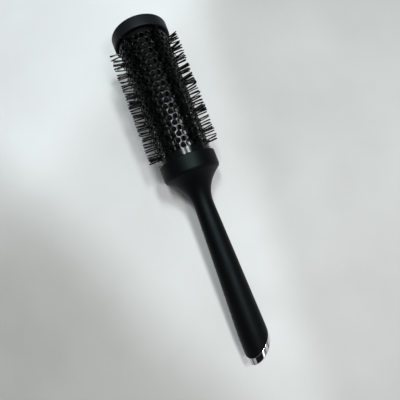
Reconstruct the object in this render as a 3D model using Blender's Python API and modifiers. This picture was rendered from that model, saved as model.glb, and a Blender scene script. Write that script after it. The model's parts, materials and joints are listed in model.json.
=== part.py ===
"""Round barrel brush with a vented tube, seven bristle rows and a soft-touch handle.

Every sub-part is modelled along one straight axis, the local Z of the empty
"brush_axis", with station 0 at the butt of the handle.  The empty then lays the
brush down as it lies on a table: on the lowest bristle tufts and on the butt end
of the handle, barrel toward +Y, with the table at Z = 0.
Outlines and sizes are in millimetres and become metres in the helpers.
"""
from math import atan2, cos, pi, radians, sin

import bmesh
import bpy
from mathutils import Matrix, Vector

MM = 0.001
GAP = 0.3                    # clearance between neighbouring pieces

# Driving dimensions: stations along the axis, and radii
TIP_END = 230.4              # flat end of the end cap
CAP_RIM = 222.9
CAP_RADIUS = 19.5
CAP_WALL = 1.6
TUBE_RADIUS = 17.5
TUBE_WALL = 0.7
TUBE_LOW = 131.5
TUBE_HIGH = 226.9
COLLAR_TOP = 136.8
COLLAR_LOW = 127.0
COLLAR_RADIUS = 19.3
NECK_STATION = 103.6
NECK_RADIUS = 6.65
CONE_LENGTH = 22.3
CONE_POWER = 2.4
GRIP_STATION = 19.0
GRIP_RADIUS = 9.55
BUTT_TAPER = 0.3             # how much the handle narrows between GRIP_STATION and the butt
EDGE = 0.5                   # rounding of the moulded rims

# Inside the handle
CORE_RADIUS = 4.6            # stem of the handle core, and the butt plug
CORE_FLARE_LOW = 112.8       # where the stem opens into the flared head
CORE_FLARE_HIGH = 127.8
CORE_HEAD_RADIUS = 14.2
NUT_POCKET = 120.0
NUT_POCKET_RADIUS = 4.5
PLUG_TOP = 20.0

# Tie rod and the discs that it clamps together
ROD_RADIUS = 2.2
ROD_LOW = 112.0
ROD_HOLE_LOW = 110.0
SEAT_HIGH = 137.0
DISC_THICKNESS = 3.0
WASHER_THICKNESS = 0.8
WASHER_RADIUS = 5.5
NUT_RADIUS = 4.1
NUT_HEIGHT = 3.2
HEAD_RADIUS = 4.2
HEAD_HEIGHT = 2.5

# Oblique chrome end of the handle
SLANT = radians(34.0)
SLANT_DIRECTION = radians(125.0 - 90.0)   # lateral direction in which the slant climbs
END_PLANE = 6.4              # where the slanted end face crosses the axis
SEAM_PLANE = 11.1            # where the seam with the grip crosses the axis
SOCKET_WEB = 1.5             # metal left between the plug's socket and the end face

# Vent pattern and bristles
ROWS = 7
COLUMNS = 28                 # vents round the tube in each ring
RINGS = 21
FIRST_RING = 142.8
RING_PITCH = 3.77
VENT_RADIUS = 1.5
TIP_RADIUS = 24.9            # bristle tips, from the axis
TUFT_ROOT = 0.9
TUFT_TIP = 1.35
ZIGZAG = radians(360.0 / COLUMNS / 4)
STRIP_LOW = 13.2
STRIP_HIGH = 15.9
STRIP_WIDTH = 6.4
STRIP_START = 140.6
STRIP_END = 220.4
RIB_WIDTH = 2.6
RIB_LOW = 11.9
HUB_RADIUS = 12.9
HUB_BORE = 10.0

SMOOTH = 48                  # facets round a visible turned piece
COARSE = 24                  # facets round a small or hidden piece
HANDLE_POINTS = 9            # profile points down the concave cone


def clear_scene():
    for obj in list(bpy.data.objects):
        bpy.data.objects.remove(obj, do_unlink=True)


def new_collection(name):
    collection = bpy.data.collections.new(name)
    bpy.context.scene.collection.children.link(collection)
    return collection


def finish(name, colour, roughness, metallic=0.0):
    material = bpy.data.materials.new(name)
    material.use_nodes = True
    shader = material.node_tree.nodes["Principled BSDF"]
    shader.inputs["Base Color"].default_value = (*colour, 1.0)
    shader.inputs["Roughness"].default_value = roughness
    shader.inputs["Metallic"].default_value = metallic
    return material


clear_scene()
PARTS = new_collection("round_barrel_brush")
CUTTERS = new_collection("cutters")
AXIS = bpy.data.objects.new("brush_axis", None)
PARTS.objects.link(AXIS)


def add_part(name, mesh, material):
    obj = bpy.data.objects.new(name, mesh)
    if not mesh.materials:
        mesh.materials.append(material)
    PARTS.objects.link(obj)
    obj.parent = AXIS
    return obj


def add_cutter(name, mesh):
    obj = bpy.data.objects.new(name, mesh)
    obj.hide_render = True
    obj.display_type = "WIRE"
    CUTTERS.objects.link(obj)
    obj.parent = AXIS
    return obj


def outline_mesh(name, outline):
    """A profile of (radius, station) points; it closes on itself unless it ends on the axis."""
    points = [(radius * MM, 0.0, station * MM) for radius, station in outline]
    edges = [(i, i + 1) for i in range(len(points) - 1)]
    if outline[0][0] > 0:
        edges.append((len(points) - 1, 0))
    mesh = bpy.data.meshes.new(name)
    mesh.from_pydata(points, edges, [])
    return mesh


def add_screw(obj, steps):
    screw = obj.modifiers.new("turn", "SCREW")
    screw.axis = "Z"
    screw.angle = 2 * pi
    screw.steps = steps
    screw.render_steps = steps
    screw.use_merge_vertices = True
    screw.merge_threshold = 0.00001


def turned(name, outline, material, steps=COARSE):
    obj = add_part(name, outline_mesh(name, outline), material)
    add_screw(obj, steps)
    return obj


def add_boolean(obj, other, operation="DIFFERENCE"):
    boolean = obj.modifiers.new(other.name, "BOOLEAN")
    boolean.operation = operation
    boolean.solver = "EXACT"
    boolean.object = other


def box_matrix(centre, size, turn=0.0):
    """Places a unit cube: size and centre in millimetres, turned about the brush's axis."""
    scale = Matrix.Diagonal([length * MM for length in size] + [1.0])
    return Matrix.Rotation(turn, 4, "Z") @ Matrix.Translation(Vector(centre) * MM) @ scale


def outward_matrix(direction, radius, station):
    """Places a Z-built shape so that it points straight out from the brush's axis."""
    turn = Matrix.Rotation(direction, 4, "Z")
    place = Matrix.Translation(Vector((radius, 0.0, station)) * MM)
    return turn @ place @ Matrix.Rotation(pi / 2, 4, "Y")


def ring_side(ring):
    """Every second ring of vents is shifted round by half a vent."""
    return ZIGZAG if ring % 2 == 0 else -ZIGZAG


def ring_station(ring):
    return FIRST_RING + ring * RING_PITCH


def row_direction(row):
    """Row 1 lies just beside the bare band on top; the rows follow round the tube."""
    return radians((row + 0.5) * 360.0 / ROWS - 90.0)


# ---------------------------------------------------------------- handle

def handle_radius(station):
    if station >= NECK_STATION:
        rise = (station - NECK_STATION) / CONE_LENGTH
        return NECK_RADIUS + (COLLAR_RADIUS - EDGE - NECK_RADIUS) * max(rise, 0.0) ** CONE_POWER
    if station >= GRIP_STATION:
        share = (NECK_STATION - station) / (NECK_STATION - GRIP_STATION)
        return NECK_RADIUS + (GRIP_RADIUS - NECK_RADIUS) * share
    return GRIP_RADIUS - BUTT_TAPER * ((GRIP_STATION - station) / GRIP_STATION) ** 2


def grip_outline():
    corner = EDGE * (1 - cos(pi / 4))
    outline = [
        (COLLAR_RADIUS - EDGE, COLLAR_TOP),
        (COLLAR_RADIUS - corner, COLLAR_TOP - corner),
        (COLLAR_RADIUS, COLLAR_TOP - EDGE),
        (COLLAR_RADIUS, COLLAR_LOW + EDGE),
        (COLLAR_RADIUS - corner, COLLAR_LOW + corner),
        (COLLAR_RADIUS - EDGE, COLLAR_LOW),
    ]
    top = NECK_STATION + CONE_LENGTH
    for i in range(HANDLE_POINTS):
        station = top - CONE_LENGTH * i / HANDLE_POINTS
        outline.append((handle_radius(station), station))
    below = -3.0             # the blank runs past the butt, and the slanted cut trims it
    for station in (NECK_STATION, GRIP_STATION, GRIP_STATION / 2, below):
        outline.append((handle_radius(station), station))
    bore = CORE_RADIUS + GAP
    head = CORE_HEAD_RADIUS + GAP
    seat = TUBE_RADIUS + GAP
    floor = TUBE_LOW - GAP
    outline += [(bore, below), (bore, CORE_FLARE_LOW - GAP), (head, CORE_FLARE_HIGH - GAP),
                (head, floor), (seat, floor), (seat, COLLAR_TOP)]
    return outline


def slanted_block(name, station, side):
    """A block with one face on the slanted plane; side -1 fills toward the butt, +1 the barrel."""
    climb = Vector((cos(SLANT_DIRECTION), sin(SLANT_DIRECTION), 0.0))
    normal = side * (Vector((0.0, 0.0, cos(SLANT))) - climb * sin(SLANT))
    size = 60.0
    mesh = bpy.data.meshes.new(name)
    shape = bmesh.new()
    turn = Vector((0.0, 0.0, 1.0)).rotation_difference(normal).to_matrix().to_4x4()
    centre = Vector((0.0, 0.0, station)) + normal * size / 2
    place = Matrix.Translation(centre * MM) @ turn @ Matrix.Scale(size * MM, 4)
    bmesh.ops.create_cube(shape, size=1.0, matrix=place)
    shape.to_mesh(mesh)
    shape.free()
    return add_cutter(name, mesh)


def make_handle():
    soft_touch = finish("soft_touch_black", (0.018, 0.02, 0.024), 0.45)
    hard_black = finish("hard_black", (0.02, 0.02, 0.02), 0.5)
    chrome = finish("polished_chrome", (0.8, 0.8, 0.82), 0.05, 1.0)

    grip = turned("handle_grip", grip_outline(), soft_touch, SMOOTH)
    add_boolean(grip, slanted_block("grip_cut", SEAM_PLANE + GAP / 2, -1))

    core = CORE_RADIUS
    hole = ROD_RADIUS + GAP
    top = TUBE_LOW - GAP
    turned("handle_core", [
        (0.0, ROD_HOLE_LOW), (hole, ROD_HOLE_LOW), (hole, NUT_POCKET),
        (NUT_POCKET_RADIUS, NUT_POCKET), (NUT_POCKET_RADIUS, top), (CORE_HEAD_RADIUS, top),
        (CORE_HEAD_RADIUS, CORE_FLARE_HIGH), (core, CORE_FLARE_LOW), (core, PLUG_TOP + GAP),
        (0.0, PLUG_TOP + GAP)], hard_black)

    stations = (24.0, GRIP_STATION, 14.0, 8.0, 2.0, -3.0)
    blank = [(0.0, stations[0])]
    blank += [(handle_radius(station), station) for station in stations]
    blank.append((0.0, stations[-1]))
    cap = turned("butt_cap", blank, chrome, SMOOTH)
    add_boolean(cap, slanted_block("butt_end_cut", END_PLANE, -1))
    add_boolean(cap, slanted_block("butt_seam_cut", SEAM_PLANE - GAP / 2, 1))

    bore = core + GAP
    socket = add_cutter("socket", outline_mesh("socket", [
        (0.0, PLUG_TOP), (bore, PLUG_TOP), (bore, 0.0), (0.0, 0.0)]))
    add_screw(socket, COARSE)
    add_boolean(socket, slanted_block("socket_floor", END_PLANE + SOCKET_WEB, -1))
    add_boolean(cap, socket)

    plug = turned("butt_plug", [(0.0, PLUG_TOP), (core, PLUG_TOP), (core, 0.0), (0.0, 0.0)],
                  hard_black)
    add_boolean(plug, slanted_block("plug_cut", END_PLANE + SOCKET_WEB + GAP, -1))


# ---------------------------------------------------------------- barrel

def vents_mesh():
    """One six-sided punch for each vent that a tuft comes through."""
    mesh = bpy.data.meshes.new("vents")
    shape = bmesh.new()
    depth = 6.0
    for row in range(ROWS):
        for ring in range(RINGS):
            direction = row_direction(row) + ring_side(ring)
            place = outward_matrix(direction, TUBE_RADIUS, ring_station(ring))
            bmesh.ops.create_cone(shape, cap_ends=True, segments=6, radius1=VENT_RADIUS * MM,
                                  radius2=VENT_RADIUS * MM, depth=depth * MM, matrix=place)
    shape.to_mesh(mesh)
    shape.free()
    return mesh


def make_tube():
    enamel = finish("black_enamel", (0.012, 0.012, 0.014), 0.12)
    inner = TUBE_RADIUS - TUBE_WALL
    tube = turned("barrel_tube", [
        (TUBE_RADIUS, TUBE_HIGH), (TUBE_RADIUS, TUBE_LOW), (inner, TUBE_LOW),
        (inner, TUBE_HIGH)], enamel, COLUMNS)
    add_boolean(tube, add_cutter("vents", vents_mesh()))


def make_end_cap():
    soft_touch = finish("cap_black", (0.018, 0.02, 0.024), 0.5)
    hard_black = finish("insert_black", (0.03, 0.03, 0.03), 0.5)
    corner = EDGE * (1 - cos(pi / 4))
    hollow = TUBE_RADIUS + GAP + 0.1
    ceiling = TIP_END - CAP_WALL
    turned("end_cap", [
        (0.0, TIP_END), (CAP_RADIUS - EDGE, TIP_END), (CAP_RADIUS - corner, TIP_END - corner),
        (CAP_RADIUS, TIP_END - EDGE), (CAP_RADIUS, CAP_RIM + EDGE),
        (CAP_RADIUS - corner, CAP_RIM + corner), (CAP_RADIUS - EDGE, CAP_RIM),
        (hollow, CAP_RIM), (hollow, ceiling), (0.0, ceiling)], soft_touch, SMOOTH)

    inner = TUBE_RADIUS - TUBE_WALL - GAP
    flange = hollow - GAP
    low = STRIP_END + GAP + DISC_THICKNESS + GAP
    around_washer = WASHER_RADIUS + 0.7
    turned("end_cap_insert", [
        (flange, ceiling - GAP), (flange, TUBE_HIGH + GAP), (inner, TUBE_HIGH + GAP),
        (inner, low), (around_washer, low), (around_washer, ceiling - GAP)], hard_black)


# ---------------------------------------------------------------- inside the barrel

def disc_outline(radius, bore, low, high):
    return [(radius, high), (radius, low), (bore, low), (bore, high)]


def make_spine():
    carrier = finish("carrier_grey", (0.06, 0.06, 0.065), 0.55)
    steel = finish("zinc_steel", (0.55, 0.55, 0.56), 0.3, 1.0)
    brass = finish("brass", (0.62, 0.45, 0.2), 0.3, 1.0)
    bore = ROD_RADIUS + GAP
    inner = TUBE_RADIUS - TUBE_WALL - GAP

    turned("barrel_seat", disc_outline(inner, bore, TUBE_LOW, SEAT_HIGH), carrier)
    rear = SEAT_HIGH + GAP
    turned("rear_ring", disc_outline(inner, bore, rear, rear + DISC_THICKNESS), carrier)
    hub = turned("core_hub", disc_outline(HUB_RADIUS, HUB_BORE, STRIP_START, STRIP_END),
                 carrier, COLUMNS)
    add_boolean(hub, add_cutter("grooves", grooves_mesh()))
    front = STRIP_END + GAP
    turned("front_ring", disc_outline(inner, bore, front, front + DISC_THICKNESS), carrier)

    washer = front + DISC_THICKNESS + GAP
    turned("tie_washer", disc_outline(WASHER_RADIUS, bore, washer, washer + WASHER_THICKNESS),
           steel)
    head = washer + WASHER_THICKNESS + GAP
    crown = head + HEAD_HEIGHT
    turned("tie_rod", [
        (0.0, crown), (HEAD_RADIUS * 0.6, crown), (HEAD_RADIUS * 0.9, crown - 0.7),
        (HEAD_RADIUS, crown - 1.7), (HEAD_RADIUS, head), (ROD_RADIUS, head),
        (ROD_RADIUS, ROD_LOW), (0.0, ROD_LOW)], steel)
    nut = NUT_POCKET + GAP
    nut_bore = bore / cos(pi / 6)
    turned("tie_nut", disc_outline(NUT_RADIUS, nut_bore, nut, nut + NUT_HEIGHT), brass, 6)


def grooves_mesh():
    """Keyways that locate the rib under each bristle strip."""
    mesh = bpy.data.meshes.new("grooves")
    shape = bmesh.new()
    floor = RIB_LOW - GAP
    height = 4.0
    length = STRIP_END - STRIP_START + 2.0
    centre = (floor + height / 2, 0.0, (STRIP_START + STRIP_END) / 2)
    for row in range(ROWS):
        size = (height, RIB_WIDTH + 2 * GAP, length)
        place = box_matrix(centre, size, row_direction(row))
        bmesh.ops.create_cube(shape, size=1.0, matrix=place)
    shape.to_mesh(mesh)
    shape.free()
    return mesh


# ---------------------------------------------------------------- bristles

def strip_features_mesh():
    """The rib under the strip and the tufts on it, for a row that points to +X."""
    mesh = bpy.data.meshes.new("strip_features")
    shape = bmesh.new()
    bury = 0.6
    rib_height = STRIP_LOW + bury - RIB_LOW
    middle = (STRIP_START + STRIP_END) / 2
    size = (rib_height, RIB_WIDTH, STRIP_END - STRIP_START - 2.0)
    place = box_matrix((RIB_LOW + rib_height / 2, 0.0, middle), size)
    bmesh.ops.create_cube(shape, size=1.0, matrix=place)
    root = STRIP_HIGH - bury
    for ring in range(RINGS):
        place = outward_matrix(ring_side(ring), (root + TIP_RADIUS) / 2, ring_station(ring))
        bmesh.ops.create_cone(shape, cap_ends=True, segments=6, radius1=TUFT_ROOT * MM,
                              radius2=TUFT_TIP * MM, depth=(TIP_RADIUS - root) * MM,
                              matrix=place)
    shape.to_mesh(mesh)
    shape.free()
    return mesh


def strip_mesh():
    mesh = bpy.data.meshes.new("strip")
    shape = bmesh.new()
    centre = ((STRIP_LOW + STRIP_HIGH) / 2, 0.0, (STRIP_START + STRIP_END) / 2)
    size = (STRIP_HIGH - STRIP_LOW, STRIP_WIDTH, STRIP_END - STRIP_START)
    bmesh.ops.create_cube(shape, size=1.0, matrix=box_matrix(centre, size))
    shape.to_mesh(mesh)
    shape.free()
    return mesh


def make_bristle_rows():
    nylon = finish("black_nylon", (0.01, 0.01, 0.011), 0.3)
    features = add_cutter("strip_features", strip_features_mesh())
    strip = strip_mesh()
    for row in range(ROWS):
        obj = add_part(f"bristle_row_{row + 1}", strip, nylon)
        obj.rotation_euler.z = row_direction(row)
        turned_features = add_cutter(f"features_{row + 1}", features.data)
        turned_features.rotation_euler.z = row_direction(row)
        add_boolean(obj, turned_features, "UNION")
    bpy.data.objects.remove(features)


# ---------------------------------------------------------------- assembly

def shade_round(obj):
    """Freezes the modifiers, then smooths every edge that isn't a real corner."""
    graph = bpy.context.evaluated_depsgraph_get()
    mesh = bpy.data.meshes.new_from_object(obj.evaluated_get(graph))
    obj.modifiers.clear()
    obj.data = mesh
    mesh.shade_smooth()
    mesh.set_sharp_from_angle(angle=radians(35.0))


def corners_of(parts):
    return [part.matrix_world @ vertex.co for part in parts for vertex in part.data.vertices]


def lay_down():
    """Tilts the axis until the lowest tufts and the butt both touch the table."""
    parts = [obj for obj in PARTS.objects if obj.type == "MESH"]
    AXIS.rotation_euler.x = -pi / 2
    for _ in range(5):
        bpy.context.view_layer.update()
        corners = corners_of(parts)
        middle = (min(c.y for c in corners) + max(c.y for c in corners)) / 2
        butt = min((c for c in corners if c.y < middle), key=lambda c: c.z)
        tuft = min((c for c in corners if c.y > middle), key=lambda c: c.z)
        AXIS.rotation_euler.x += atan2(butt.z - tuft.z, tuft.y - butt.y)
    bpy.context.view_layer.update()
    corners = corners_of(parts)
    low = Vector([min(corner[i] for corner in corners) for i in range(3)])
    high = Vector([max(corner[i] for corner in corners) for i in range(3)])
    AXIS.location = (-(low.x + high.x) / 2, -(low.y + high.y) / 2, -low.z)


make_handle()
make_tube()
make_end_cap()
make_spine()
make_bristle_rows()
for part in list(PARTS.objects):
    if part.type == "MESH":
        shade_round(part)
lay_down()
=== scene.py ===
"""The round barrel brush's looks: vented enamel tube, nylon tufts, soft handle, chrome butt.

All pieces are built along the brush's own straight axis, station 0 at the butt, and then
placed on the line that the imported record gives. Lengths are in millimetres until placed.
"""
import json
from math import cos, pi, radians, sin, tan
from random import Random

import bpy
from mathutils import Matrix, Vector


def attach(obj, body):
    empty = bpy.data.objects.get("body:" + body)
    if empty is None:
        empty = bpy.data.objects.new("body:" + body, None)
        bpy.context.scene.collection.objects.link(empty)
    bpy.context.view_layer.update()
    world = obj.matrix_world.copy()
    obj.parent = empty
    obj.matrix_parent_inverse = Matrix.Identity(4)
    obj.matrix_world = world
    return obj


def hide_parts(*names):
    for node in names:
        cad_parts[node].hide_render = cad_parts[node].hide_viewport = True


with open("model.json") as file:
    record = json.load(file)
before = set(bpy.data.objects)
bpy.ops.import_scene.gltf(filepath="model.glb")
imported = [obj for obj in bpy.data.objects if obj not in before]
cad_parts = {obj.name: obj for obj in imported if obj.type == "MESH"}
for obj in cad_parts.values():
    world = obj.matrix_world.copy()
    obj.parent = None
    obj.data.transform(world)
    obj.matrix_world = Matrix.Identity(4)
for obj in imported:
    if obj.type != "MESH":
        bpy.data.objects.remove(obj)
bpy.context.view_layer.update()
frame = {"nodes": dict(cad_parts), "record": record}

MM = 0.001
NODES = frame["nodes"]

# Sizes that the CAD model was built to
LENGTH = 230.4
CAP_RIM = 222.9
CAP_RADIUS = 19.5
CAP_HOLLOW = 17.9
CAP_CEILING = 228.8
TUBE_RADIUS = 17.5
TUBE_WALL = 0.7
TUBE_LOW = 131.5
TUBE_HIGH = 226.9
COLLAR_TOP = 136.8
COLLAR_LOW = 127.0
COLLAR_RADIUS = 19.3
COLLAR_BORE = 17.8
NECK_STATION = 103.6
NECK_RADIUS = 6.65
CONE_LENGTH = 22.3
CONE_POWER = 2.4
GRIP_STATION = 19.0
GRIP_RADIUS = 9.55
BUTT_TAPER = 0.3
SLANT = tan(radians(34.0))
SLANT_DIRECTION = radians(35.0)
END_PLANE = 6.4
SEAM_PLANE = 11.1
SEAM_GAP = 0.3
CORE_BORE = 4.9
PLUG_FLOOR = 1.5             # metal left between the butt's bore and its end face
FLARE_BORE = 14.5
SHELF_STATION = 131.2        # step inside the collar that the barrel stands on
ROWS = 7
COLUMNS = 28
RINGS = 21
FIRST_RING = 142.8
RING_PITCH = 3.77
TIP_RADIUS = 24.9
STRIP_HIGH = 15.9
STRIP_LOW = 13.2
STRIP_START = 140.6
STRIP_END = 220.4
RIB_LOW = 11.9
ZIGZAG = 2 * pi / COLUMNS / 4
STEPS = 144                  # facets round every turned piece


# ---------------------------------------------------------------- placing

def mount(name):
    return next(m for m in frame["record"]["mounts"] if m["name"] == name)


def axis_matrix():
    """Takes the brush's own straight axis (local Z, metres) to where the frame lays it."""
    cap = mount("cap_face")
    along = Vector(cap["axis"]).normalized()
    start = Vector(cap["pos_m"]) - along * LENGTH * MM
    side = Vector((1.0, 0.0, 0.0))
    down = along.cross(side)
    turn = Matrix((side, down, along)).transposed().to_4x4()
    return Matrix.Translation(start) @ turn


PLACE = axis_matrix()


def make_piece(name, verts, faces, material, slot, *nodes):
    """A mesh piece from points in millimetres along the brush's axis, riding on the one body."""
    mesh = bpy.data.meshes.new(name)
    mesh.from_pydata([PLACE @ (Vector(v) * MM) for v in verts], [], faces)
    mesh.validate()
    mesh.materials.append(material)
    mesh.shade_smooth()
    obj = bpy.data.objects.new(name, mesh)
    bpy.context.scene.collection.objects.link(obj)
    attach(obj, "root")
    if nodes:
        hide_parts(*nodes)
    return obj


# ---------------------------------------------------------------- round shapes

def ring(radius, station, steps):
    """One ring of points; radius and station may depend on the angle."""
    points = []
    for i in range(steps):
        angle = 2 * pi * i / steps
        r = radius(angle) if callable(radius) else radius
        s = station(angle) if callable(station) else station
        points.append((r * cos(angle), r * sin(angle), s))
    return points


def skin(rings, closed_ring=False):
    """Joins rings of equal length with quads. Rings run so that faces look out going down."""
    steps = len(rings[0])
    verts = [point for points in rings for point in points]
    faces = []
    count = len(rings)
    for k in range(count if closed_ring else count - 1):
        a, b = k * steps, ((k + 1) % count) * steps
        for i in range(steps):
            j = (i + 1) % steps
            faces.append((a + i, b + i, b + j, a + j))
    return verts, faces


def close_end(verts, faces, first, steps, centre, up):
    """A fan from a ring that starts at index first to one centre point."""
    verts.append(centre)
    hub = len(verts) - 1
    for i in range(steps):
        j = (i + 1) % steps
        faces.append((first + i, first + j, hub) if up else (first + j, first + i, hub))


def arc(centre, radius, start, end, count):
    """Profile points on a circular arc, angles in degrees from +radius toward +station."""
    points = []
    for i in range(count + 1):
        angle = radians(start + (end - start) * i / count)
        points.append((centre[0] + radius * cos(angle), centre[1] + radius * sin(angle)))
    return points


# ---------------------------------------------------------------- materials

def add_node(tree, kind, **values):
    node = tree.nodes.new(kind)
    for key, value in values.items():
        if key in node.inputs:
            node.inputs[key].default_value = value
        else:
            setattr(node, key, value)
    return node


def math_node(tree, operation, first, second):
    node = tree.nodes.new("ShaderNodeMath")
    node.operation = operation
    for socket, value in zip(node.inputs, (first, second)):
        if isinstance(value, float):
            socket.default_value = value
        else:
            tree.links.new(value, socket)
    return node.outputs["Value"]


def smooth_step(tree, value, start, end):
    """0 before start, 1 after end, or the other way round when start is the larger."""
    node = tree.nodes.new("ShaderNodeMapRange")
    node.interpolation_type = "SMOOTHSTEP"
    node.inputs["From Min"].default_value = start
    node.inputs["From Max"].default_value = end
    tree.links.new(value, node.inputs["Value"])
    return node.outputs["Result"]


def slope(tree, coords, direction):
    """How far a point lies along a direction, in metres."""
    node = tree.nodes.new("ShaderNodeVectorMath")
    node.operation = "DOT_PRODUCT"
    node.inputs[1].default_value = direction
    tree.links.new(coords, node.inputs[0])
    return node.outputs["Value"]


def blend_level(tree, level, share, target):
    """Moves a brightness toward the target by this share."""
    node = tree.nodes.new("ShaderNodeMix")
    node.inputs["B"].default_value = target
    tree.links.new(share, node.inputs["Factor"])
    tree.links.new(level, node.inputs["A"])
    return node.outputs["Result"]


def noise_range(tree, coords, scale, low, high, detail=3.0, stretch=None):
    """Noise at so many cells a metre, mapped to low..high."""
    source = coords
    if stretch:
        mapping = tree.nodes.new("ShaderNodeMapping")
        mapping.inputs["Scale"].default_value = stretch
        tree.links.new(coords, mapping.inputs["Vector"])
        source = mapping.outputs["Vector"]
    texture = add_node(tree, "ShaderNodeTexNoise", Scale=scale, Detail=detail)
    tree.links.new(source, texture.inputs["Vector"])
    spread = tree.nodes.new("ShaderNodeMapRange")
    spread.inputs["From Min"].default_value = 0.3
    spread.inputs["From Max"].default_value = 0.7
    spread.inputs["To Min"].default_value = low
    spread.inputs["To Max"].default_value = high
    tree.links.new(texture.outputs["Fac"], spread.inputs["Value"])
    return spread.outputs["Result"]


def surface(name, dark, light, rough, metallic=0.0, specular=0.5, patch=60.0, grain=5000.0,
            grain_depth=0.00002, tint=(1.0, 1.0, 1.0), stretch=None):
    """A Principled finish: mottled colour, uneven roughness and a fine grain in the surface.

    patch and grain are in cells a metre, grain_depth in metres; stretch draws the grain out.
    """
    material = bpy.data.materials.new(name)
    material.use_nodes = True
    tree = material.node_tree
    shader = tree.nodes["Principled BSDF"]
    shader.inputs["Metallic"].default_value = metallic
    shader.inputs["Specular IOR Level"].default_value = specular
    shader.inputs["Specular Tint"].default_value = (*tint, 1.0)
    coords = tree.nodes.new("ShaderNodeTexCoord").outputs["Object"]

    mix = tree.nodes.new("ShaderNodeMix")
    mix.data_type = "RGBA"
    mix.inputs["A"].default_value = (*dark, 1.0)
    mix.inputs["B"].default_value = (*light, 1.0)
    tree.links.new(noise_range(tree, coords, patch, 0.0, 1.0, 5.0), mix.inputs["Factor"])
    tree.links.new(mix.outputs["Result"], shader.inputs["Base Color"])

    uneven = noise_range(tree, coords, patch * 3, rough[0], rough[1], 4.0, stretch)
    tree.links.new(uneven, shader.inputs["Roughness"])

    bump = tree.nodes.new("ShaderNodeBump")
    bump.inputs["Distance"].default_value = grain_depth
    bump.inputs["Strength"].default_value = 0.6
    tree.links.new(noise_range(tree, coords, grain, 0.0, 1.0, 2.0, stretch),
                   bump.inputs["Height"])
    tree.links.new(bump.outputs["Normal"], shader.inputs["Normal"])
    return material


SOFT_TOUCH = surface("soft_touch", (0.0008, 0.0010, 0.0011), (0.0014, 0.0017, 0.0019),
                     (0.44, 0.51), specular=0.104, patch=45.0, grain=6500.0,
                     grain_depth=0.00001, tint=(0.76, 0.94, 1.0))
CAP_PLASTIC = surface("cap_plastic", (0.0052, 0.0063, 0.0077), (0.0070, 0.0081, 0.0098),
                      (0.42, 0.5), specular=0.14, patch=70.0, grain=5500.0,
                      grain_depth=0.000012)
ENAMEL = surface("black_enamel", (0.0014, 0.0014, 0.0016), (0.0026, 0.0026, 0.0028),
                 (0.14, 0.22), specular=0.23, patch=120.0, grain=1400.0,
                 grain_depth=0.000006)
NYLON = surface("black_nylon", (0.0008, 0.0009, 0.0010), (0.0018, 0.0019, 0.0020),
                (0.12, 0.22), specular=0.31, patch=300.0, grain=4000.0)
CHROME = surface("polished_chrome", (0.78, 0.78, 0.79), (0.86, 0.86, 0.87),
                 (0.03, 0.08), metallic=1.0, patch=120.0, grain=900.0,
                 grain_depth=0.0000015)
HARD_PLASTIC = surface("hard_plastic", (0.0016, 0.0016, 0.0017), (0.0028, 0.0028, 0.0030),
                       (0.55, 0.7), specular=0.12, patch=150.0, grain=3000.0)
STEEL = surface("zinc_steel", (0.42, 0.42, 0.43), (0.58, 0.58, 0.6), (0.22, 0.4),
                metallic=1.0, patch=200.0, grain=2500.0, stretch=(1.0, 0.05, 1.0))
BRASS = surface("turned_brass", (0.5, 0.35, 0.14), (0.66, 0.48, 0.22), (0.2, 0.35),
                metallic=1.0, patch=250.0, grain=3000.0)


# ---------------------------------------------------------------- handle

def handle_radius(station):
    if station >= NECK_STATION:
        rise = (station - NECK_STATION) / CONE_LENGTH
        return NECK_RADIUS + (COLLAR_RADIUS - 0.5 - NECK_RADIUS) * rise ** CONE_POWER
    if station >= GRIP_STATION:
        share = (NECK_STATION - station) / (NECK_STATION - GRIP_STATION)
        return NECK_RADIUS + (GRIP_RADIUS - NECK_RADIUS) * share
    return GRIP_RADIUS - BUTT_TAPER * ((GRIP_STATION - station) / GRIP_STATION) ** 2


def slant_station(plane, radius):
    """Where a slanted plane lies at this radius, as a function of the angle."""
    return lambda angle: plane + SLANT * radius * cos(angle - SLANT_DIRECTION)


def corner_station(plane):
    """Where the slanted plane meets the handle's side, as a function of the angle."""
    def station(angle):
        s = plane
        for _ in range(6):
            s = plane + SLANT * handle_radius(s) * cos(angle - SLANT_DIRECTION)
        return s
    return station


def slanted_edge(plane, side, size, count=5):
    """Rings that round the edge between the handle's side and a slanted face, side to face."""
    rings = []
    corner = corner_station(plane)
    for k in range(count + 1):
        t = k / count
        points = []
        for i in range(STEPS):
            angle = 2 * pi * i / STEPS
            s = corner(angle)
            r = handle_radius(s)
            on_side = (handle_radius(s + side * size), s + side * size)
            on_face = (r - size, plane + SLANT * (r - size) * cos(angle - SLANT_DIRECTION))
            blend = ((1 - t) ** 2, 2 * t * (1 - t), t * t)
            radius = blend[0] * on_side[0] + blend[1] * r + blend[2] * on_face[0]
            height = blend[0] * on_side[1] + blend[1] * s + blend[2] * on_face[1]
            points.append((radius * cos(angle), radius * sin(angle), height))
        rings.append(points)
    return rings


def side_between(low_station, high_station, count):
    """Rings up the handle's side from one station function to another, both ends included."""
    rings = []
    for k in range(count + 1):
        t = k / count
        points = []
        for i in range(STEPS):
            angle = 2 * pi * i / STEPS
            s = low_station(angle) * (1 - t) + high_station(angle) * t
            r = handle_radius(s)
            points.append((r * cos(angle), r * sin(angle), s))
        rings.append(points)
    return rings


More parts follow.
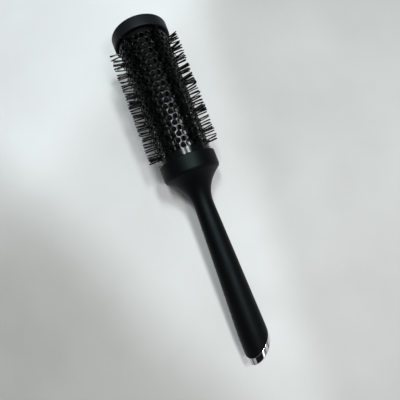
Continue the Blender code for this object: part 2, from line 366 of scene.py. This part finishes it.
def make_grip():
    plane = SEAM_PLANE + SEAM_GAP / 2
    edge = 0.3
    profile = [(COLLAR_BORE + 0.25, COLLAR_TOP)]
    profile += arc((COLLAR_RADIUS - 0.5, COLLAR_TOP - 0.5), 0.5, 90, 0, 5)
    profile += [(COLLAR_RADIUS, COLLAR_TOP - 1.0), (COLLAR_RADIUS, 132.0),
                (COLLAR_RADIUS, COLLAR_LOW + 0.7)]
    profile += arc((COLLAR_RADIUS - 0.25, COLLAR_LOW + 0.25), 0.25, 0, -80, 4)
    top = NECK_STATION + CONE_LENGTH
    cone = [(handle_radius(top - CONE_LENGTH * i / 36), top - CONE_LENGTH * i / 36)
            for i in range(36)]
    rings = [ring(r, s, STEPS) for r, s in profile + cone]
    straight = [NECK_STATION - i * 6.0 for i in range(12)]
    rings += [ring(handle_radius(s), s, STEPS) for s in straight]
    low = corner_station(plane)
    side = side_between(lambda angle: low(angle) + edge, lambda angle: 30.0, 14)
    rings += side[::-1][:-1]
    rings += slanted_edge(plane, 1, edge)
    rings.append(ring(CORE_BORE, slant_station(plane, CORE_BORE), STEPS))
    inner = [(CORE_BORE, 24.0), (CORE_BORE, 112.5), (FLARE_BORE, 127.5),
             (FLARE_BORE, SHELF_STATION), (COLLAR_BORE, SHELF_STATION),
             (COLLAR_BORE, COLLAR_TOP - 0.25)]
    rings += [ring(r, s, STEPS) for r, s in inner]
    verts, faces = skin(rings, closed_ring=True)
    piece = make_piece("grip_shell", verts, faces, SOFT_TOUCH, "soft_touch", "handle_grip")
    piece.data.set_sharp_from_angle(angle=radians(40.0))


def make_butt_cap():
    seam = SEAM_PLANE - SEAM_GAP / 2
    floor = END_PLANE + PLUG_FLOOR
    seam_edge = 0.25
    edge = 0.9
    rings = [ring(CORE_BORE, slant_station(floor, CORE_BORE), STEPS),
             ring(CORE_BORE, slant_station(seam, CORE_BORE), STEPS)]
    rings += slanted_edge(seam, -1, seam_edge)[::-1]
    upper = corner_station(seam)
    lower = corner_station(END_PLANE)
    side = side_between(lambda a: lower(a) + edge, lambda a: upper(a) - seam_edge, 6)
    rings += side[::-1][1:-1]
    rings += slanted_edge(END_PLANE, 1, edge, 8)
    for share in (0.8, 0.55, 0.28):
        rings.append(ring(lambda a: share * handle_radius(lower(a)),
                          lambda a: END_PLANE + SLANT * share * handle_radius(lower(a))
                          * cos(a - SLANT_DIRECTION), STEPS))
    verts, faces = skin(rings)
    last = (len(rings) - 1) * STEPS
    close_end(verts, faces, last, STEPS, (0.0, 0.0, END_PLANE), up=False)
    close_end(verts, faces, 0, STEPS, (0.0, 0.0, floor), up=True)
    piece = make_piece("butt_tip", verts, faces, CHROME, "chrome_plate", "butt_cap")
    piece.data.set_sharp_from_angle(angle=radians(40.0))


# ---------------------------------------------------------------- barrel

def make_end_cap():
    rim = 0.6
    profile = [(17.6, LENGTH), (18.4, LENGTH)]
    profile += arc((CAP_RADIUS - rim, LENGTH - rim), rim, 90, 0, 6)
    profile += [(CAP_RADIUS, LENGTH - 2.0), (CAP_RADIUS, CAP_RIM + 2.0)]
    profile += arc((CAP_RADIUS - 0.35, CAP_RIM + 0.35), 0.35, 0, -90, 4)
    profile += [(CAP_HOLLOW + 0.2, CAP_RIM), (CAP_HOLLOW, CAP_RIM + 0.2),
                (CAP_HOLLOW, CAP_CEILING)]
    rings = [ring(r, s, STEPS) for r, s in profile]
    verts, faces = skin(rings)
    close_end(verts, faces, 0, STEPS, (0.0, 0.0, LENGTH), up=True)
    last = (len(rings) - 1) * STEPS
    close_end(verts, faces, last, STEPS, (0.0, 0.0, CAP_CEILING), up=False)
    piece = make_piece("cap_shell", verts, faces, CAP_PLASTIC, "cap_plastic", "end_cap")
    piece.data.set_sharp_from_angle(angle=radians(40.0))


VENT_RADIUS = 1.6
QUARTERS = 4 * COLUMNS       # the tube's grid: four steps for each vent, both ways
# The sixteen grid points round a vent's cell, and its lip: reach past the vent, and depth
CELL_EDGE = ((2, 2), (2, 3), (2, 4), (1, 4), (0, 4), (-1, 4), (-2, 4), (-2, 3),
             (-2, 2), (-2, 1), (-2, 0), (-1, 0), (0, 0), (1, 0), (2, 0), (2, 1))
LIP = ((0.25, 0.0), (0.15, 0.02), (0.07, 0.07), (0.02, 0.15), (0.0, 0.25))


class Tube:
    """Grows the perforated tube cell by cell; neighbouring cells share their edge points."""

    def __init__(self):
        self.verts = []
        self.faces = []
        self.shared = {}

    def point(self, radius, angle, station):
        self.verts.append((radius * cos(angle), radius * sin(angle), station))
        return len(self.verts) - 1

    def grid_point(self, radius, across, along):
        across %= QUARTERS
        key = (radius, across, along)
        if key not in self.shared:
            station = FIRST_RING + (along / 4 - 0.5) * RING_PITCH
            self.shared[key] = self.point(radius, 2 * pi * across / QUARTERS, station)
        return self.shared[key]

    def vent_ring(self, centre, station, reach, depth):
        """Sixteen points round a vent, at this distance from its middle and this deep."""
        ids = []
        for i in range(len(CELL_EDGE)):
            turn = 2 * pi * i / len(CELL_EDGE)
            angle = centre + reach * cos(turn) / TUBE_RADIUS
            ids.append(self.point(TUBE_RADIUS - depth, angle, station + reach * sin(turn)))
        return ids

    def join(self, outside, inside):
        count = len(outside)
        for i in range(count):
            j = (i + 1) % count
            self.faces.append((outside[i], outside[j], inside[j], inside[i]))

    def cell(self, index, centre_step):
        centre = 2 * pi * centre_step / QUARTERS
        station = FIRST_RING + index * RING_PITCH
        inner = TUBE_RADIUS - TUBE_WALL
        rim = [self.grid_point(TUBE_RADIUS, centre_step + a, 4 * index + s)
               for a, s in CELL_EDGE]
        for reach, depth in LIP:
            lip = self.vent_ring(centre, station, VENT_RADIUS + reach, depth)
            self.join(rim, lip)
            rim = lip
        wall = self.vent_ring(centre, station, VENT_RADIUS, TUBE_WALL)
        self.join(rim, wall)
        back = [self.grid_point(inner, centre_step + a, 4 * index + s)
                for a, s in CELL_EDGE]
        self.join(wall, back)

    def band(self, along, stations, lower):
        """The plain stretch beyond the first or last ring of vents, outside and inside."""
        inner = TUBE_RADIUS - TUBE_WALL
        outside = [self.grid_point(TUBE_RADIUS, a, along) for a in range(QUARTERS)]
        inside = [self.grid_point(inner, a, along) for a in range(QUARTERS)]
        loops = [outside]
        angles = [2 * pi * a / QUARTERS for a in range(QUARTERS)]
        for station in stations:
            loops.append([self.point(TUBE_RADIUS, angle, station) for angle in angles])
        for station in stations[::-1]:
            loops.append([self.point(inner, angle, station) for angle in angles])
        loops.append(inside)
        for a, b in zip(loops, loops[1:]):
            if lower:
                self.join(a[::-1], b[::-1])
            else:
                self.join(a, b)


def make_tube():
    tube = Tube()
    for index in range(RINGS):
        shift = 1 if index % 2 == 0 else -1
        for column in range(COLUMNS):
            tube.cell(index, 4 * column + shift)
    tube.band(0, [140.0, 137.0, 134.0, TUBE_LOW + 0.1, TUBE_LOW], lower=True)
    tube.band(4 * RINGS, [221.0, 223.0, TUBE_HIGH - 0.1, TUBE_HIGH], lower=False)
    piece = make_piece("vented_tube", tube.verts, tube.faces, ENAMEL, "black_ceramic",
                       "barrel_tube")
    piece.data.set_sharp_from_angle(angle=radians(50.0))


# ---------------------------------------------------------------- bristles

FILAMENT_SIDES = 6
FILAMENT_SPANS = 5
FILAMENTS = 4                # in a bundle
FILAMENT_RADIUS = 0.27
FAN = 2.1                    # how far a tuft spreads to each side at its tips
ROOT_SPREAD = 0.8            # how far from the vent's middle a filament starts
ROOT_RADIUS = STRIP_HIGH - 0.2
TIP_RETURN = 0.75            # share of the zigzag that a tuft's tips lean back by


def add_filament(verts, faces, root, bow, tip, radius):
    """A round filament along a gentle curve from root by bow to tip, with a blunt tip."""
    along = (tip - root).normalized()
    across = along.cross(Vector((0.0, 0.0, 1.0))).normalized()
    upward = along.cross(across)
    first = len(verts)
    stops = [(i / FILAMENT_SPANS, 1.0) for i in range(FILAMENT_SPANS)]
    stops += [(0.985, 0.95), (1.0, 0.6)]
    for t, width in stops:
        middle = root * (1 - t) ** 2 + bow * 2 * t * (1 - t) + tip * t * t
        for k in range(FILAMENT_SIDES):
            turn = 2 * pi * k / FILAMENT_SIDES
            spread = across * cos(turn) + upward * sin(turn)
            verts.append(tuple(middle + spread * radius * width))
    for n in range(len(stops) - 1):
        a, b = first + n * FILAMENT_SIDES, first + (n + 1) * FILAMENT_SIDES
        for k in range(FILAMENT_SIDES):
            j = (k + 1) % FILAMENT_SIDES
            faces.append((a + k, a + j, b + j, b + k))
    last = first + (len(stops) - 1) * FILAMENT_SIDES
    faces.append(tuple(range(last, last + FILAMENT_SIDES)))
    faces.append(tuple(range(first, first + FILAMENT_SIDES))[::-1])


def add_bundle(verts, faces, outward, sideways, vent, height, lean, draw):
    """A few filaments that stay close together from the vent to their tips."""
    fan = draw.uniform(-1.0, 1.0)
    longest = TIP_RADIUS - min(abs(draw.gauss(0.0, 0.7)), 2.0)
    for _ in range(FILAMENTS):
        reach = longest - draw.uniform(0.0, 0.7)
        offset = Vector((0.0, 0.0, height + draw.uniform(-0.22, 0.22)))
        offset += sideways * draw.uniform(-0.35, 0.35)
        start = vent + offset
        gathered = offset + sideways * fan * 0.6
        gathered *= min(1.0, ROOT_SPREAD / gathered.length)
        root = vent + gathered + outward * ROOT_RADIUS
        bow = start + outward * (ROOT_RADIUS + reach) / 2 + sideways * fan * 0.45 * FAN
        tip = start + outward * reach + sideways * (fan * FAN - lean)
        add_filament(verts, faces, root, bow, tip, FILAMENT_RADIUS * draw.uniform(0.9, 1.08))


def add_tuft(verts, faces, direction, lean, station, draw):
    """A tuft leaves its vent as close bundles that point apart, two at each of a few heights."""
    outward = Vector((cos(direction), sin(direction), 0.0))
    sideways = Vector((-sin(direction), cos(direction), 0.0))
    vent = Vector((0.0, 0.0, station))
    heights = draw.choice((2, 2, 3))
    gap = RING_PITCH / heights
    for n in range(heights):
        for _ in range(2):
            height = (n - (heights - 1) / 2) * gap + draw.uniform(-0.2, 0.2)
            add_bundle(verts, faces, outward, sideways, vent, height, lean, draw)


def add_strip(verts, faces, direction):
    """The moulded strip that the tufts stand on, with the rib that keys it to the hub."""
    outward = Vector((cos(direction), sin(direction), 0.0))
    sideways = Vector((-sin(direction), cos(direction), 0.0))
    half, rib, chamfer = 3.2, 1.3, 0.25
    section = [(STRIP_HIGH, half - chamfer), (STRIP_HIGH - chamfer, half),
               (STRIP_LOW, half), (STRIP_LOW, rib), (RIB_LOW, rib),
               (RIB_LOW, -rib), (STRIP_LOW, -rib), (STRIP_LOW, -half),
               (STRIP_HIGH - chamfer, -half), (STRIP_HIGH, -half + chamfer)]
    first = len(verts)
    for station in (STRIP_START, STRIP_END):
        for out, side in section:
            point = outward * out + sideways * side + Vector((0.0, 0.0, station))
            verts.append(tuple(point))
    count = len(section)
    for i in range(count):
        j = (i + 1) % count
        faces.append((first + i, first + count + i, first + count + j, first + j))
    faces.append(tuple(range(first, first + count)))
    faces.append(tuple(range(first + count, first + 2 * count))[::-1])


def make_bristles():
    """Each tuft stands to one side of its row in turn, and its tips lean back to the middle."""
    draw = Random(7)
    for row in range(ROWS):
        direction = radians((row + 0.5) * 360.0 / ROWS - 90.0)
        verts, faces = [], []
        add_strip(verts, faces, direction)
        for index in range(RINGS):
            shift = ZIGZAG if index % 2 == 0 else -ZIGZAG
            lean = shift * TIP_RADIUS * TIP_RETURN
            station = FIRST_RING + index * RING_PITCH
            add_tuft(verts, faces, direction + shift, lean, station, draw)
        piece = make_piece(f"tufts_{row + 1}", verts, faces, NYLON, "nylon",
                           f"bristle_row_{row + 1}")
        piece.data.set_sharp_from_angle(angle=radians(50.0))


# ---------------------------------------------------------------- CAD pieces that stay

def finish_inner_pieces():
    finishes = {"handle_core": HARD_PLASTIC, "butt_plug": HARD_PLASTIC,
                "end_cap_insert": HARD_PLASTIC, "barrel_seat": HARD_PLASTIC,
                "rear_ring": HARD_PLASTIC, "front_ring": HARD_PLASTIC,
                "core_hub": HARD_PLASTIC, "tie_washer": STEEL, "tie_rod": STEEL,
                "tie_nut": BRASS}
    for name, material in finishes.items():
        mesh = NODES[name].data
        mesh.materials.clear()
        mesh.materials.append(material)


# ---------------------------------------------------------------- floor, light and camera

FLOOR_HALF = 3.0
FLOOR_DROP = 0.00005         # keeps the floor just under what stands on it
# Painted light and shade on the table: direction, start and end of each painted change in
# metres, and change
TABLE_PAINTED_LIGHT_AND_SHADE = (((-0.5, 0.87, 0.0), 0.07, 0.13, 0.25),
                ((1.0, -0.1, 0.0), 0.025, 0.06, -0.24),
                ((-0.9, -0.45, 0.0), 0.06, 0.12, -0.42))


def make_floor():
    mesh = bpy.data.meshes.new("floor")
    half = FLOOR_HALF
    mesh.from_pydata([(-half, -half, 0), (half, -half, 0), (half, half, 0), (-half, half, 0)],
                     [], [(0, 1, 2, 3)])
    floor = bpy.data.objects.new("floor", mesh)
    bpy.context.scene.collection.objects.link(floor)
    floor.location.z = -FLOOR_DROP
    mesh.materials.append(pale_table())


def pale_table():
    """Pale matt table with painted light, white by the cap, and painted shade toward warm grey
    on both sides of the handle.
    """
    material = surface("pale_table", (0.285, 0.264, 0.243), (0.79, 0.775, 0.78), (0.5, 0.65),
                       specular=0.3, patch=9.0, grain=900.0, grain_depth=0.00005)
    tree = material.node_tree
    coords = next(n for n in tree.nodes if n.type == "TEX_COORD").outputs["Object"]
    mix = next(n for n in tree.nodes if n.type == "MIX")
    cloud = mix.inputs["Factor"].links[0].from_socket
    whole = math_node(tree, "ADD", math_node(tree, "MULTIPLY", cloud, 0.16), 0.61)
    # each entry paints a band of light (positive change) or shade (negative change) into the
    # table's colour
    for direction, start, end, change in TABLE_PAINTED_LIGHT_AND_SHADE:
        step = smooth_step(tree, slope(tree, coords, direction), start, end)
        whole = math_node(tree, "ADD", whole, math_node(tree, "MULTIPLY", step, change))
    tree.links.new(whole, mix.inputs["Factor"])
    return material


def brush_frame():
    """The directions along the brush toward the butt, up away from the table, and sideways."""
    turn = PLACE.to_3x3()
    return -turn.col[2], -turn.col[1], turn.col[0]


MIDDLE_STATION = 108.5


def brush_middle():
    """The point on the brush's axis that the camera and the lights face."""
    return PLACE @ Vector((0.0, 0.0, MIDDLE_STATION * MM))


CAMERA_DISTANCE = 0.2045
CAMERA_OFFSET = 0.0014       # how far the camera stands to the brush's left
CAMERA_PITCH = radians(4.03)
CAMERA_ROLL = radians(20.806)
CAMERA_LENS = 27.8


def make_camera():
    toward_butt, upward, sideways = brush_frame()
    back = toward_butt * sin(CAMERA_PITCH) + upward * cos(CAMERA_PITCH)
    image_down = toward_butt * cos(CAMERA_PITCH) - upward * sin(CAMERA_PITCH)
    right = image_down * sin(CAMERA_ROLL) + sideways * cos(CAMERA_ROLL)
    top = sideways * sin(CAMERA_ROLL) - image_down * cos(CAMERA_ROLL)
    place = brush_middle() + back * CAMERA_DISTANCE - sideways * CAMERA_OFFSET
    turn = Matrix((right, top, back)).transposed().to_4x4()
    data = bpy.data.cameras.new("camera")
    data.sensor_width = 36.0
    data.lens = CAMERA_LENS
    data.clip_start = 0.01
    camera = bpy.data.objects.new("camera", data)
    bpy.context.scene.collection.objects.link(camera)
    camera.matrix_world = Matrix.Translation(place) @ turn
    bpy.context.scene.camera = camera


def add_area(name, place, target, size, power, colour):
    """A rectangular light at a place, facing a target, its length in line with the brush."""
    back = (place - target).normalized()
    width = Vector((0.0, -1.0, 0.0)).cross(back).normalized()
    data = bpy.data.lights.new(name, "AREA")
    data.shape = "RECTANGLE"
    data.size, data.size_y = size
    data.energy = power
    data.color = colour
    light = bpy.data.objects.new(name, data)
    bpy.context.scene.collection.objects.link(light)
    turn = Matrix((width, back.cross(width), back)).transposed().to_4x4()
    light.matrix_world = Matrix.Translation(place) @ turn


def overhead(lateral, along, distance):
    """A place off the brush's middle, by angles in degrees from straight above it."""
    toward_butt, upward, sideways = brush_frame()
    away = upward * cos(radians(lateral)) + sideways * sin(radians(lateral))
    away = away * cos(radians(along)) + toward_butt * sin(radians(along))
    return brush_middle() + away * distance


def make_lights():
    """Two overhead strips that streak the glossy tube, and a small key light for shadows."""
    middle = brush_middle()
    cool, warm = (0.9, 1.0, 1.0), (1.0, 0.97, 0.95)
    add_area("strip_near", overhead(0.4, -15.5, 1.0), middle, (0.11, 0.25), 4.1, cool)
    add_area("strip_far", overhead(20.5, -13.0, 1.05), middle, (0.12, 0.25), 5.6, cool)
    add_area("key", Vector((0.13, -0.20, 0.48)), middle, (0.07, 0.04), 0.6, warm)


ROOM_LEVEL = 0.08            # brightness near the horizon
ROOM_CEILING = 0.2           # and straight overhead
ROOM_BACKDROP = 0.7          # what the camera sees behind the floor
LOWEST = 0.08                # least height that slopes are worked out from
PATCH_NEAR = (0.26, 0.46)    # slopes between which a patch comes in, near overhead
PATCH_FADE = 1.6             # and how far past its end it has gone, as a share of its end
PATCH_EDGE = 0.03
# Patches of the ceiling that the chrome butt mirrors: left and right border and far end, as
# slopes from overhead, and brightness
CEILING_PATCHES = ((-1.46, 0.25, 0.9, 0.01),     # a dark doorway
                   (0.25, 0.58, 0.9, 1.4),       # a narrow lamp beside it
                   (-6.0, -1.46, 3.0, 0.4),      # the wall on the left
                   (0.58, 1.3, 1.5, 0.22),       # a shelf
                   (1.3, 6.0, 3.0, 0.6))         # the wall on the right


def patch_of_sky(tree, across, along, left, right, far):
    """1 inside a rectangle of the ceiling on the butt's side, given by slopes from overhead."""
    edge = PATCH_EDGE
    inside = math_node(tree, "MULTIPLY", smooth_step(tree, across, left - edge, left + edge),
                       smooth_step(tree, across, right + edge, right - edge))
    band = math_node(tree, "MULTIPLY", smooth_step(tree, along, *PATCH_NEAR),
                     smooth_step(tree, along, far * PATCH_FADE, far))
    return math_node(tree, "MULTIPLY", inside, band)


def make_room():
    """Soft even room light, with a few dark and bright patches that the chrome butt mirrors."""
    world = bpy.data.worlds.new("room")
    bpy.context.scene.world = world
    world.use_nodes = True
    tree = world.node_tree
    split = tree.nodes.new("ShaderNodeSeparateXYZ")
    tree.links.new(tree.nodes.new("ShaderNodeTexCoord").outputs["Generated"], split.inputs[0])
    height = math_node(tree, "MAXIMUM", split.outputs["Z"], LOWEST)
    toward_butt = math_node(tree, "MULTIPLY", split.outputs["Y"], -1.0)
    across = math_node(tree, "DIVIDE", split.outputs["X"], height)
    along = math_node(tree, "DIVIDE", toward_butt, height)
    rise = smooth_step(tree, split.outputs["Z"], 0.3, 0.95)
    level = math_node(tree, "MULTIPLY", rise, ROOM_CEILING - ROOM_LEVEL)
    level = math_node(tree, "ADD", level, ROOM_LEVEL)
    for left, right, far, brightness in CEILING_PATCHES:
        patch = patch_of_sky(tree, across, along, left, right, far)
        level = blend_level(tree, level, patch, brightness)
    seen = tree.nodes.new("ShaderNodeLightPath").outputs["Is Camera Ray"]
    level = blend_level(tree, level, seen, ROOM_BACKDROP)
    background = tree.nodes["Background"]
    background.inputs["Color"].default_value = (0.93, 0.98, 1.0, 1.0)
    tree.links.new(level, background.inputs["Strength"])


make_camera()
make_lights()
make_room()
make_floor()
make_grip()
make_butt_cap()
make_end_cap()
make_tube()
make_bristles()
finish_inner_pieces()
bpy.context.scene.view_settings.view_transform = "Standard"
